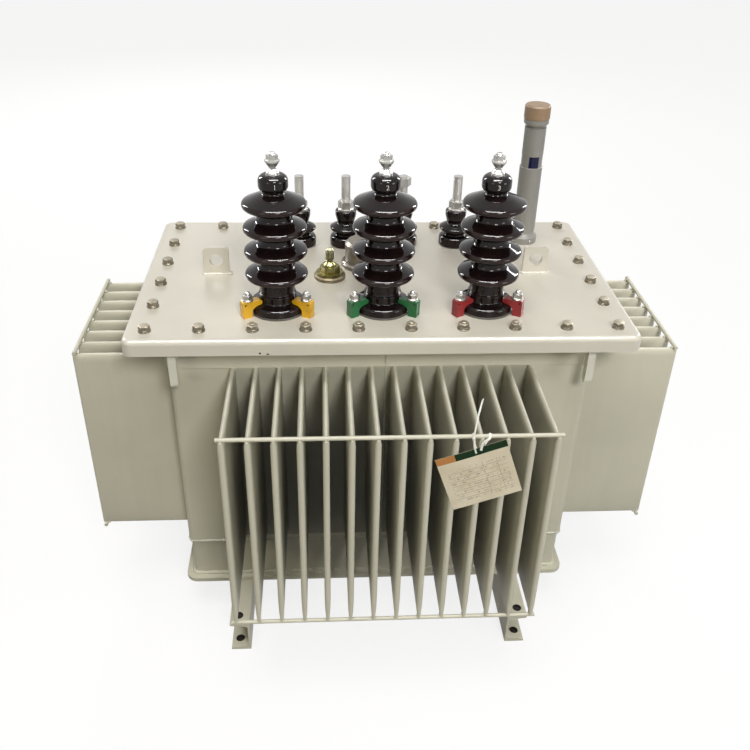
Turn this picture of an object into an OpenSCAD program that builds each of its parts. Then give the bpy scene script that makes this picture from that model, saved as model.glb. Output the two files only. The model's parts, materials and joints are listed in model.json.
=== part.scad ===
// Oil-immersed power transformer with a corrugated tank.
// Millimetres, +Z up. The origin lies on the floor under the middle of the tank, and -Y is the
// high-voltage front. The cooling fins are folded sheet: full in the middle, pinched flat at both ends.

/* [Tank] */
// Length of the tank body along X
tank_l = 846; // [780:2:900]
// Width of the tank body along Y
tank_w = 432; // [420:2:470]
// Corner radius of the tank body
tank_r = 12; // [8:1:24]
// Height of the cover's top above the floor
tank_h = 750; // [730:2:820]
// Height of the channel rails under the base plate
rail_h = 80; // [63:1:100]
// Thickness of the base plate
base_t = 10; // [6:1:14]
// How far the base plate stands out past the tank body
base_over = 14; // [8:1:20]
// Height of the plain frame below the corrugated wall
frame_h = 102; // [80:1:120]
// How far that frame is set back from the wall
frame_in = 4; // [2:1:8]

/* [Cover] */
// How far the cover stands out past each end of the tank body
cover_end = 67; // [56:1:90]
// How far the cover stands out past the front and the back of the tank body
cover_side = 74; // [60:1:90]
// Thickness of the cover plate
cover_t = 8; // [6:1:10]
// Depth of the turned-down edge
cover_skirt = 32; // [26:1:36]
// Radius of the bend along the cover's edge
cover_bend = 10; // [6:1:12]
// Corner radius of the cover in plan
cover_r = 18; // [14:1:26]
// Thickness of the gasket under the cover
gasket_t = 8; // [5:1:10]
// Thickness of the rim frame's steel
rim_t = 6; // [4:1:8]
// Height of the rim frame's upright band
rim_h = 78; // [70:1:90]

/* [Fins] */
// Spacing of the cooling fins
fin_pitch = 45.7; // [44:0.1:48]
// Number of fins on the front wall and on the back wall
fin_long_n = 14; // [12:1:14]
// Number of fins on each end wall
fin_end_n = 8; // [6:1:8]
// Depth of the fins on the long walls
fin_long_d = 256; // [200:2:300]
// Depth of the fins on the end walls
fin_end_d = 197; // [160:1:240]
// Thickness of a fin in its full middle
fin_t = 12; // [9:0.5:15]
// Thickness of the pinched seam at the top and the bottom
fin_seam = 3; // [2:0.5:4]
// Height over which a fin narrows to its seam at the bottom
fin_taper = 75; // [40:1:90]
// Height over which a fin narrows to its seam at the top
fin_crown = 16; // [10:1:40]
// Clear height between the wall's lower weld and the fins
fin_lift = 15; // [12:1:30]
// Diameter of the tie rods welded across the fins
rod_d = 8; // [7:0.5:12]
// How far a tie rod runs past the last fin
rod_past = 3; // [1:1:14]

/* [Channel rails] */
// Distance of each channel rail's back from the end of the tank body
rail_in = 138; // [100:1:160]
// Length of a rail
rail_l = 720; // [700:2:800]
// Width of a rail's flanges
rail_w = 43; // [40:1:53]
// Thickness of a rail's upright web
rail_web = 5; // [4:0.5:7]
// Middle thickness of a rail's flanges
rail_t = 8; // [6:0.5:9]
// Diameter of the holding-down holes
rail_hole = 20; // [14:0.5:22]
// Distance of the holes from the back of the web
rail_gauge = 25; // [23:1:28]
// Distance of the holding-down holes from a rail's ends
rail_hole_end = 25; // [22:1:60]

/* [High-voltage bushings] */
// Spacing of the three high-voltage bushings
hv_pitch = 205; // [190:1:220]
// Distance of their row from the cover's front edge
hv_y = 128; // [115:1:140]
// Radius of a shed
hv_shed_r = 60; // [54:1:64]
// Radius of the porcelain core between sheds
hv_core_r = 34; // [30:1:38]
// Height of the lowest shed's rim above the cover
hv_shed_z = 77; // [72:1:84]
// Spacing of the sheds
hv_shed_pitch = 46.5; // [44:0.5:50]
// Radius of the base flange
hv_flange_r = 55; // [50:1:58]
// Diameter of the terminal stud
hv_stud_d = 12; // [10:0.5:14]
// Thickness of a hold-down claw
claw_t = 16; // [14:1:20]
// Height of a hold-down claw
claw_h = 35; // [34:1:40]

/* [Low-voltage bushings] */
// Distance of the low-voltage row from the cover's back edge
lv_y = 133; // [120:1:145]
// Spacing of the two middle bushings
lv_mid = 127; // [110:1:130]
// Spacing from the left-hand middle bushing to the outer one
lv_left = 103; // [95:1:125]
// Spacing from the right-hand middle bushing to the outer one
lv_right = 122; // [95:1:125]
// Radius of the porcelain base and shed
lv_base_r = 35.5; // [33:0.5:40]
// Radius of the porcelain top
lv_top_r = 23.5; // [21:0.5:27]
// Height of the porcelain above the cover
lv_h = 82; // [76:1:90]
// Diameter of the terminal stud
lv_stud_d = 20; // [16:1:22]
// Height of the stud's end above the cover
lv_stud_z = 159; // [150:1:170]

/* [Fittings] */
// Distance of the oil gauge from the cover's right-hand end
gauge_x = 141; // [110:1:160]
// Distance of the oil gauge from the cover's back edge
gauge_y = 116; // [95:1:130]
// Height of the oil gauge above the cover
gauge_h = 313; // [290:1:330]
// Radius of the oil gauge's lower tube
gauge_r = 25; // [20:0.5:26]
// Radius of the gauge cap
gauge_cap_r = 28; // [26:0.5:32]
// Distance of the relief valve to the left of the middle
relief_x = 102; // [95:1:110]
// Distance of the relief valve in front of the middle
relief_y = 21; // [10:1:30]
// Height of the relief valve
relief_h = 68; // [60:1:76]
// Distance of the tap changer to the left of the middle
tap_x = 31; // [20:1:40]
// Distance of the tap changer behind the middle
tap_y = 43; // [35:1:50]
// Height of the tap changer's cap
tap_h = 56; // [48:1:64]
// Distance of each lifting lug from the cover's end
lug_x = 151; // [120:1:170]
// Width of a lifting lug
lug_w = 53; // [48:1:62]
// Height of a lifting lug
lug_h = 60; // [56:1:70]
// Radius of a lifting lug's top corners
lug_round = 10; // [6:1:18]
// Height of the hole's middle above the cover
lug_hole_z = 31.5; // [29:0.5:36]
// Thickness of a lifting lug
lug_t = 11; // [8:1:14]
// Diameter of the hole in a lifting lug
lug_hole = 28; // [22:1:30]
// Distance of each tank hook's outer face from the end of the tank body
hook_x = 12; // [12:1:40]
// Thickness of a tank hook
hook_t = 15; // [12:1:18]
// How far a tank hook's outer edge is set back from the edge of the rim flange
hook_set = 11; // [6:1:16]
// Height of a tank hook
hook_h = 95; // [88:1:110]
// Radius of a tank hook's outer shoulder
hook_round = 36; // [24:1:40]
// Width of a tank hook's throat
hook_gap = 28; // [24:1:30]

/* [Hidden] */
$fn = 48;
base_z = rail_h + base_t;
wall_z = base_z + frame_h;
cover_under = tank_h - cover_t;
flange_z = cover_under - gasket_t - rim_t;
band_z = flange_z - rim_h;
cover_l = tank_l + 2 * cover_end;
cover_w = tank_w + 2 * cover_side;
// Half length and half width of the rim flange, which clears the inside of the cover's edge
flange_gap = 3;
flange_hl = cover_l / 2 - cover_t - flange_gap;
flange_hw = cover_w / 2 - cover_t - flange_gap;
fin_z = wall_z + fin_lift;
fin_top = band_z;
fin_h = fin_top - fin_z;
rod_in = 6;
hook_out = flange_hw - tank_w / 2 - rim_t - hook_set;
rail_gap = tank_l - 2 * rail_in;
rail_hole_gap = rail_l - 2 * rail_hole_end;
// Slope of the rails' inner flange faces and its angle
rail_slope = 0.1;
rail_a = atan(rail_slope);
// Places of the rows and fittings on the cover
hv_row = cover_w / 2 - hv_y;
lv_row = cover_w / 2 - lv_y;
gauge_at = [cover_l / 2 - gauge_x, cover_w / 2 - gauge_y, tank_h];
hv_x = [-hv_pitch, 0, hv_pitch];
lv_x = [-lv_mid / 2 - lv_left, -lv_mid / 2, lv_mid / 2, lv_mid / 2 + lv_right];
// Porcelain heights above the cover, low to high
hv_flange_h = 20;
hv_flange_edge = 6;
hv_shoulder_r = hv_core_r + 2;
hv_shoulder_z = 25;
hv_neck_z = 40;
hv_shed_n = 4;
hv_rim_r = 7;
hv_top_z = hv_shed_z + (hv_shed_n - 1) * hv_shed_pitch;
hv_throat_r = 22.5;
hv_throat_z = hv_top_z + 21;
hv_collar_r = 27.7;
hv_collar_z = hv_throat_z + 35;
hv_cone_h = 10;
hv_cup_z = hv_collar_z + 14;
hv_nut_z = hv_collar_z + 26;
hv_stud_z = hv_collar_z + 40;
// Claw outline as distances from the bushing's axis
claw_in = hv_flange_r + 4;
claw_out = claw_in + 18.5;
claw_tip = hv_shoulder_r + 1;
claw_arm_z = claw_h - 2.5;
claw_n = 3;
claw_first = -30;
nut_s = 30;
nut_h = 17;
gauge_ring_r = gauge_r + 6;
gauge_ring_h = 18;
gauge_cap_h = 30;
gauge_cap_z = gauge_h - gauge_cap_h;
gauge_lip_r = gauge_cap_r - 1;
gauge_lip_z = gauge_cap_z - 14;
gauge_pane_w = 22;
gauge_pane_h = 25;
gauge_pane_z = gauge_h - 135;
gauge_neck_r = gauge_r - 2;
gauge_top_r = gauge_r - 1.5;
relief_r = 33;
tap_r = 37;
tap_ring_r = 45;

grey = [0.78, 0.76, 0.70];
sheet = [0.70, 0.68, 0.61];
pale = [0.86, 0.85, 0.79];
porcelain = [0.14, 0.09, 0.09];
tin = [0.80, 0.77, 0.72];
claw_paint = [[0.93, 0.70, 0.12], [0.10, 0.47, 0.28], [0.77, 0.18, 0.21]];

// Points on an arc from angle a0 to a1
function arc(cx, cy, r, a0, a1, n) =
    [for (i = [0:n]) [cx + r * cos(a0 + (a1 - a0) * i / n), cy + r * sin(a0 + (a1 - a0) * i / n)]];

// Outline of a rectangle with round corners
function round_rect(l, w, r, n = 8) = concat(
    arc(l / 2 - r, w / 2 - r, r, 0, 90, n), arc(r - l / 2, w / 2 - r, r, 90, 180, n),
    arc(r - l / 2, r - w / 2, r, 180, 270, n), arc(l / 2 - r, r - w / 2, r, 270, 360, n));

// A plate with round corners, its underside at z
module slab(l, w, r, z, h) {
    translate([0, 0, z]) linear_extrude(h) polygon(round_rect(l, w, r));
}

// A plate with a rectangular opening the size of the tank body
module collar(l, w, r, z, h) {
    difference() {
        slab(l, w, r, z, h);
        slab(tank_l, tank_w, tank_r, z - 1, h + 2);
    }
}

// Rolled channel rail standing on one flange, its back towards the middle. side is -1 or 1
module foot(side) {
    rise = rail_slope * (rail_w - rail_web) / 2;
    tip = rail_t - rise;
    root = rail_t + rise;
    end = rail_l / 2;
    r = 6;
    e = 3;
    mirror([side < 0 ? 1 : 0, 0, 0]) translate([rail_gap / 2, 0, 0]) difference() {
        translate([0, end, 0]) rotate([90, 0, 0]) linear_extrude(rail_l)
            polygon(concat([[0, 0], [rail_w, 0]], arc(rail_w - e, tip - e, e, 0, 90 - rail_a, 4),
                arc(rail_web + r, root + r, r, 270 - rail_a, 180, 4),
                arc(rail_web + r, rail_h - root - r, r, 180, 90 + rail_a, 4),
                arc(rail_w - e, rail_h - tip + e, e, 270 + rail_a, 360, 4),
                [[rail_w, rail_h], [0, rail_h]]));
        for (s = [-1, 1])
            translate([rail_gauge, s * rail_hole_gap / 2, -1]) cylinder(d = rail_hole, h = rail_h + 2);
    }
}
module left_foot() { color(grey) foot(-1); }
module right_foot() { color(grey) foot(1); }

module base_plate() {
    color(grey) slab(tank_l + 2 * base_over, tank_w + 2 * base_over, tank_r + base_over, rail_h, base_t);
}

module lower_frame() {
    color(sheet) slab(tank_l - 2 * frame_in, tank_w - 2 * frame_in, tank_r, base_z, frame_h);
}

module tank_wall() {
    color(sheet) slab(tank_l, tank_w, tank_r, wall_z, cover_under - wall_z);
}

// Angle-section frame round the tank's mouth
module rim_frame() {
    color(grey) union() {
        collar(2 * flange_hl, 2 * flange_hw, cover_r - cover_t, flange_z, rim_t);
        collar(tank_l + 2 * rim_t, tank_w + 2 * rim_t, tank_r + rim_t, band_z, rim_h);
    }
}

module cover_gasket() {
    color([0.12, 0.12, 0.12])
        collar(2 * flange_hl, 2 * flange_hw, cover_r - cover_t, flange_z + rim_t, gasket_t);
}

// Cover plate with its edge bent down over the rim
module cover() {
    edge = cover_skirt - cover_bend;
    inner = cover_t;
    color(pale) difference() {
        hull() for (sx = [-1, 1], sy = [-1, 1])
            translate([sx * (cover_l / 2 - cover_r), sy * (cover_w / 2 - cover_r), tank_h - cover_skirt])
                rotate_extrude($fn = 32) polygon(concat([[0, 0], [cover_r, 0]],
                    arc(cover_r - cover_bend, edge, cover_bend, 0, 90, 6), [[0, cover_skirt]]));
        slab(cover_l - 2 * inner, cover_w - 2 * inner, cover_r - inner, tank_h - cover_skirt - 1,
            cover_skirt - cover_t + 1);
    }
}

// Points of a fin's side as it swells from a seam at height z to full thickness at z + h. side is -1 or 1
function swell(z, h, side, n) = [for (i = [0:n])
    [side * (fin_seam + (fin_t - fin_seam) * sin(90 * i / n)) / 2, z + h * (1 - cos(90 * i / n))]];
function back(points) = [for (i = [len(points) - 1:-1:0]) points[i]];

// One folded cooling fin reaching towards -Y from the wall, pinched flat at the top and the bottom
module fin(depth) {
    a = fin_t / 2;
    intersection() {
        rotate([90, 0, 0]) linear_extrude(depth)
            polygon(concat(swell(fin_z, fin_taper, 1, 6), back(swell(fin_top, -fin_crown, 1, 4)),
                swell(fin_top, -fin_crown, -1, 4), back(swell(fin_z, fin_taper, -1, 6))));
        translate([0, 0, fin_z]) linear_extrude(fin_h)
            polygon(concat([[a, 0], [-a, 0]], arc(0, a - depth, a, 180, 360, 10)));
    }
}

// A row of fins on the wall that lies at distance wall in front of the middle
module fin_row(n, wall, depth) {
    color(sheet) for (i = [0:n - 1])
        translate([(i - (n - 1) / 2) * fin_pitch, -wall, 0]) fin(depth);
}
module front_fins() { fin_row(fin_long_n, tank_w / 2, fin_long_d); }
module back_fins() { rotate([0, 0, 180]) fin_row(fin_long_n, tank_w / 2, fin_long_d); }
module left_fins() { rotate([0, 0, -90]) fin_row(fin_end_n, tank_l / 2, fin_end_d); }
module right_fins() { rotate([0, 0, 90]) fin_row(fin_end_n, tank_l / 2, fin_end_d); }

// The two tie rods that join a row of fins near the noses, one on top and one underneath
module rod_pair(n, wall, depth) {
    len = (n - 1) * fin_pitch + fin_t + 2 * rod_past;
    color(pale) for (z = [fin_z - rod_d / 2, fin_top + rod_d / 2])
        translate([-len / 2, rod_in - wall - depth, z]) rotate([0, 90, 0]) cylinder(d = rod_d, h = len);
}
module front_rods() { rod_pair(fin_long_n, tank_w / 2, fin_long_d); }
module back_rods() { rotate([0, 0, 180]) rod_pair(fin_long_n, tank_w / 2, fin_long_d); }
module left_rods() { rotate([0, 0, -90]) rod_pair(fin_end_n, tank_l / 2, fin_end_d); }
module right_rods() { rotate([0, 0, 90]) rod_pair(fin_end_n, tank_l / 2, fin_end_d); }

// Lifting hook under the rim, its throat open downwards. sx and sy pick the corner
module hook(sx, sy) {
    r = hook_gap / 2;
    throat = hook_h * 0.53;
    lip = hook_out - hook_gap;
    color(grey) translate([sx * (tank_l / 2 - hook_x - hook_t / 2) - hook_t / 2, sy * (tank_w / 2 + rim_t),
        flange_z])
        mirror([0, sy < 0 ? 1 : 0, 0]) rotate([90, 0, 90]) linear_extrude(hook_t)
            polygon(concat([[0, 0]], arc(hook_out - hook_round, -hook_round, hook_round, 90, 0, 8),
                arc(hook_out - lip / 2, lip / 2 - hook_h, lip / 2, 0, -180, 8),
                arc(r, -throat, r, 0, 180, 10)));
}
module hook_front_left() { hook(-1, -1); }
module hook_front_right() { hook(1, -1); }
module hook_back_left() { hook(-1, 1); }
module hook_back_right() { hook(1, 1); }

// Lifting lug welded upright on the cover, its eye along Y
module lug(x) {
    r = lug_round;
    color(pale) translate([x, 0, tank_h]) difference() {
        translate([0, lug_t / 2, 0]) rotate([90, 0, 0]) linear_extrude(lug_t)
            polygon(concat([[-lug_w / 2, 0], [lug_w / 2, 0]],
                arc(lug_w / 2 - r, lug_h - r, r, 0, 90, 8), arc(r - lug_w / 2, lug_h - r, r, 90, 180, 8)));
        translate([0, lug_t, lug_hole_z]) rotate([90, 0, 0]) cylinder(d = lug_hole, h = 2 * lug_t);
    }
}
module left_lug() { lug(lug_x - cover_l / 2); }
module right_lug() { lug(cover_l / 2 - lug_x); }

// Outline of one shed: hollowed underneath, round rim, sloping top
function shed(z) = concat(
    arc(hv_core_r + 7, z - 19, 7, 180, 105, 4),
    arc(hv_shed_r - hv_rim_r, z, hv_rim_r, -80, 62, 8),
    arc(hv_core_r + 9, z + 23, 9, 240, 180, 4));

// Porcelain with a base flange, sheds, a capped top and a rolled collar
module hv_bushing(i) {
    color(porcelain) translate([hv_x[i], -hv_row, tank_h]) rotate_extrude()
        polygon(concat([[0, 0], [hv_flange_r - 2, 0], [hv_flange_r, 2]],
            arc(hv_flange_r - hv_flange_edge, hv_flange_h - hv_flange_edge, hv_flange_edge, 0, 80, 5),
            [[hv_shoulder_r + 2.5, hv_shoulder_z - 2], [hv_shoulder_r, hv_shoulder_z],
                [hv_shoulder_r, hv_neck_z - 2], [hv_core_r, hv_neck_z]],
            [for (k = [0:hv_shed_n - 2]) each shed(hv_shed_z + k * hv_shed_pitch)],
            arc(hv_core_r + 7, hv_top_z - 19, 7, 180, 105, 4),
            arc(hv_shed_r - hv_rim_r, hv_top_z, hv_rim_r, -80, 66, 8),
            [[hv_throat_r + 14, hv_top_z + 15], [hv_throat_r, hv_throat_z]],
            arc(hv_collar_r - 10, hv_throat_z + 14, 10, -50, 0, 4),
            arc(hv_collar_r - 12, hv_collar_z - 12, 12, 0, 80, 5), [[0, hv_collar_z]]));
}
module hv_bushing_1() { hv_bushing(0); }
module hv_bushing_2() { hv_bushing(1); }
module hv_bushing_3() { hv_bushing(2); }

// Stud with a cone nut at its foot, a cup washer and a hexagon nut
module hv_terminal(i) {
    r = hv_stud_d / 2;
    color(tin) translate([hv_x[i], -hv_row, tank_h]) {
        rotate_extrude() polygon([[0, hv_collar_z], [2.1 * r, hv_collar_z], [2 * r, hv_collar_z + 4],
            [1.2 * r, hv_collar_z + hv_cone_h], [r, hv_collar_z + hv_cone_h], [r, hv_cup_z],
            [1.25 * r, hv_cup_z], [2.3 * r, hv_nut_z - 3], [2.3 * r, hv_nut_z], [r, hv_nut_z],
            [r, hv_stud_z - 1], [r - 1, hv_stud_z], [0, hv_stud_z]]);
        translate([0, 0, hv_nut_z - 1]) cylinder(d = hv_stud_d * 1.85, h = 10, $fn = 6);
    }
}
module hv_terminal_1() { hv_terminal(0); }
module hv_terminal_2() { hv_terminal(1); }
module hv_terminal_3() { hv_terminal(2); }

// Three cast claws that hold a bushing's flange down, each with a small three-cornered pit
module hv_claws(i) {
    r = 5;
    color(claw_paint[i]) for (k = [0:claw_n - 1])
        translate([hv_x[i], -hv_row, tank_h]) rotate([0, 0, claw_first + k * 360 / claw_n])
            translate([0, claw_t / 2, 0]) rotate([90, 0, 0]) linear_extrude(claw_t) difference() {
                polygon(concat([[claw_in, 0], [claw_out - 2, 0], [claw_out, 2]],
                    arc(claw_out - 4, claw_h - 4, 4, 0, 90, 4),
                    [[claw_in + 2, claw_h], [claw_in - 2, claw_arm_z]],
                    arc(claw_tip + r, claw_arm_z - r, r, 90, 240, 6),
                    [[hv_flange_r - hv_flange_edge + 1, hv_flange_h + 1], [claw_in - 3, hv_flange_h - 2.5],
                        [claw_in, hv_flange_h - 7]]));
                polygon([[claw_out - 3, claw_h - 5], [claw_out - 9, claw_h - 6], [claw_out - 4, claw_h - 11]]);
            }
}
module hv_claws_1() { hv_claws(0); }
module hv_claws_2() { hv_claws(1); }
module hv_claws_3() { hv_claws(2); }

// Low-voltage porcelain: drum base, a waist, one shed and a top that flares like a cup
module lv_bushing(i) {
    waist = lv_top_r + 0.5;
    throat = lv_top_r - 4.5;
    color(porcelain) translate([lv_x[i], lv_row, tank_h]) rotate_extrude()
        polygon(concat([[0, 0], [lv_base_r - 3, 0], [lv_base_r, 3], [lv_base_r, 16]],
            arc(lv_base_r - 7, 16, 7, 15, 80, 4), arc(waist + 3, 27, 3, 250, 120, 4),
            arc(lv_base_r - 4, 40, 4, -70, 60, 6), arc(throat + 4, 54, 4, 240, 175, 3),
            arc(lv_top_r - 5, lv_h - 11, 5, -15, 0, 2), arc(lv_top_r - 3, lv_h - 3, 3, 0, 90, 4),
            [[0, lv_h]]));
}
module lv_bushing_1() { lv_bushing(0); }
module lv_bushing_2() { lv_bushing(1); }
module lv_bushing_3() { lv_bushing(2); }
module lv_bushing_4() { lv_bushing(3); }

// Plain stud with a washer and a hexagon nut at its foot, and on one a second nut near its end
module lv_terminal(i, second = false) {
    r = lv_stud_d / 2;
    across = nut_s / cos(30);
    color(tin) translate([lv_x[i], lv_row, tank_h]) {
        difference() {
            translate([0, 0, lv_h]) cylinder(r = r, h = lv_stud_z - lv_h);
            if (second) translate([0, 0, lv_stud_z - 3 - nut_h]) cylinder(r = r + 1, h = nut_h);
        }
        translate([0, 0, lv_h]) cylinder(d = across + 2, h = 3);
        translate([0, 0, lv_h + 3]) cylinder(d = across, h = nut_h, $fn = 6);
        if (second) translate([0, 0, lv_stud_z - 3 - nut_h]) cylinder(d = across, h = nut_h, $fn = 6);
    }
}
module lv_terminal_1() { lv_terminal(0); }
module lv_terminal_2() { lv_terminal(1); }
module lv_terminal_3() { lv_terminal(2, true); }
module lv_terminal_4() { lv_terminal(3); }

// Pressure relief valve: turned base, hexagon body and a capped stem
module relief_valve() {
    hex_z = 14;
    hex_h = 13;
    color([0.66, 0.64, 0.34]) translate([-relief_x, -relief_y, tank_h]) {
        rotate_extrude() polygon([[0, 0], [relief_r - 1, 0], [relief_r, 2], [relief_r, 7], [relief_r - 4, 9],
            [relief_r - 5, hex_z], [0, hex_z]]);
        translate([0, 0, hex_z]) cylinder(d = 42, h = hex_h, $fn = 6);
        translate([0, 0, hex_z + hex_h]) rotate_extrude() polygon(concat([[0, 0], [14, 0], [13, 4], [7, 9],
            [6, 12], [9, 15]], [[9, relief_h - hex_z - hex_h - 10]],
            arc(0, relief_h - hex_z - hex_h - 9, 9, 30, 90, 4)));
    }
}

// Tap changer: flanged base and a screwed cap
module tap_changer() {
    color(tin) translate([-tap_x, tap_y, tank_h]) rotate_extrude()
        polygon([[0, 0], [tap_ring_r - 1, 0], [tap_ring_r, 1], [tap_ring_r, 8], [tap_ring_r - 2, 10],
            [tap_r, 11], [tap_r, tap_h - 6], [tap_r - 6, tap_h], [0, tap_h]]);
}

// Tubular oil gauge with a stepped stem, a recess for its pane and a lip that carries the cap
module gauge_tube() {
    color([0.62, 0.63, 0.63]) translate(gauge_at) difference() {
        rotate_extrude() polygon([[0, 0], [gauge_ring_r, 0], [gauge_ring_r, gauge_ring_h - 4],
            [gauge_r, gauge_ring_h + 6], [gauge_r, gauge_pane_z - 1], [gauge_neck_r, gauge_pane_z],
            [gauge_neck_r, gauge_pane_z + gauge_pane_h], [gauge_top_r, gauge_pane_z + gauge_pane_h + 1],
            [gauge_top_r, gauge_lip_z - 4], [gauge_top_r - 4, gauge_lip_z - 3],
            [gauge_top_r - 4, gauge_lip_z], [gauge_lip_r - 4, gauge_lip_z], [gauge_lip_r, gauge_lip_z + 5],
            [gauge_lip_r, gauge_cap_z], [0, gauge_cap_z]]);
        gauge_slot();
    }
}
module gauge_slot() {
    translate([-gauge_pane_w / 2, -gauge_r - 5, gauge_pane_z])
        cube([gauge_pane_w, gauge_r + 5 - sqrt(pow(gauge_neck_r, 2) - pow(gauge_pane_w / 2, 2)) + 3,
            gauge_pane_h]);
}

// Dark pane of the oil gauge
module gauge_pane() {
    color([0.10, 0.12, 0.42]) translate(gauge_at) intersection() {
        gauge_slot();
        translate([0, 0, gauge_pane_z - 1]) cylinder(r = gauge_neck_r, h = gauge_pane_h + 2);
    }
}

// Screw cap on top of the oil gauge
module gauge_cap() {
    color([0.80, 0.67, 0.53]) translate([0, 0, gauge_cap_z]) translate(gauge_at) rotate_extrude()
        polygon(concat([[0, 0], [gauge_cap_r - 1, 0], [gauge_cap_r, 2]],
            arc(gauge_cap_r - 5, gauge_cap_h - 5, 5, 0, 90, 5), [[0, gauge_cap_h]]));
}

left_foot();
right_foot();
base_plate();
lower_frame();
tank_wall();
rim_frame();
cover_gasket();
cover();
front_fins();
back_fins();
left_fins();
right_fins();
front_rods();
back_rods();
left_rods();
right_rods();
hook_front_left();
hook_front_right();
hook_back_left();
hook_back_right();
left_lug();
right_lug();
hv_bushing_1();
hv_bushing_2();
hv_bushing_3();
hv_terminal_1();
hv_terminal_2();
hv_terminal_3();
hv_claws_1();
hv_claws_2();
hv_claws_3();
lv_bushing_1();
lv_bushing_2();
lv_bushing_3();
lv_bushing_4();
lv_terminal_1();
lv_terminal_2();
lv_terminal_3();
lv_terminal_4();
relief_valve();
tap_changer();
gauge_tube();
gauge_pane();
gauge_cap();
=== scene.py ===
import json
import math
import bpy
from mathutils import Matrix, Vector, noise

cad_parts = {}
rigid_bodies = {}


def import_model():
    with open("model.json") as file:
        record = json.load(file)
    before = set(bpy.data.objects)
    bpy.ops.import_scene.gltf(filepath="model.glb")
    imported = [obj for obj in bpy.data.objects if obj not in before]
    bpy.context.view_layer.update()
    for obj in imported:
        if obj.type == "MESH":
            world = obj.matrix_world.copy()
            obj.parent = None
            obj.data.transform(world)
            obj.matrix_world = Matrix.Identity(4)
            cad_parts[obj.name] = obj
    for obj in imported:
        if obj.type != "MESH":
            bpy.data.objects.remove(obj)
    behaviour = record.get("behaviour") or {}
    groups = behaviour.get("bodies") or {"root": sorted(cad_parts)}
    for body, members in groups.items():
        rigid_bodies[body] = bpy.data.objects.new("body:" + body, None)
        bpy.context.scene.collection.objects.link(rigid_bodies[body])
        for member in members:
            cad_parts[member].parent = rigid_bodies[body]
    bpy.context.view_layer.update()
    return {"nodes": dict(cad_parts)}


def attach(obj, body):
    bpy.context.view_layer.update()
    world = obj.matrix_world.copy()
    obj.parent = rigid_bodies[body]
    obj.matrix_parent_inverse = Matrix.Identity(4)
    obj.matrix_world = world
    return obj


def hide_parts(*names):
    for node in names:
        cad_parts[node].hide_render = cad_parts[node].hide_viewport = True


for o in list(bpy.data.objects):
    bpy.data.objects.remove(o)
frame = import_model()
node = frame["nodes"]
MM = 0.001

# Sizes and places of the solids, in millimetres
H = 750.0                                            # top of the cover
COVER_FRONT = -290.0                                 # y of the cover's front edge
BOLT_STEP, BOLT_X, BOLT_Y = 100, 450, 250            # bolts of the cover
HV_X, HV_Y = (-205.0, 0.0, 205.0), -162.0            # high-voltage bushings
LV_X, LV_Y = (-166.5, -63.5, 63.5, 185.5), 157.0     # low-voltage bushings
CLAW_R, CLAW_TURNS = 64.5, (-30, 90, 210)            # claw bolts around a high-voltage bushing
TAP_X, TAP_Y = -31, 43                               # tap changer
GAUGE_X, GAUGE_Y = 349, 174                          # oil gauge
LUG_X, HOOK_X = 339.0, 403.5                         # lifting lugs and hooks
FOOT_X, FOOT_Y = 310.0, 335.0                        # holding-down holes of the rails
WALL_X, WALL_Y = 420.0, 213.0                        # outer faces of the tank wall
NOSE_X, NOSE_Y = 620.0, 472.0                        # noses of the end fins and of the front fins
PITCH, FIN_Z, FIN_TOP = 45.7, 207.0, 650.0           # spacing, foot and top of the fins
TAPER, CROWN, FIN_T, SEAM = 75.0, 16.0, 12.0, 3.0    # run-outs at a fin's foot and top, its full and seam thickness
FRONT_FINS = [(i - 6.5) * PITCH for i in range(14)]  # x of each front or back fin
END_FINS = [(j - 3.5) * PITCH for j in range(8)]     # y of each end fin


# ---------------------------------------------------------------- materials

def lin(*rgb):
    """A colour written as 0 to 255, as Blender's linear values."""
    c = [v / 255.0 for v in rgb]
    return tuple(v / 12.92 if v <= 0.04045 else ((v + 0.055) / 1.055) ** 2.4 for v in c) + (1.0,)


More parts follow.
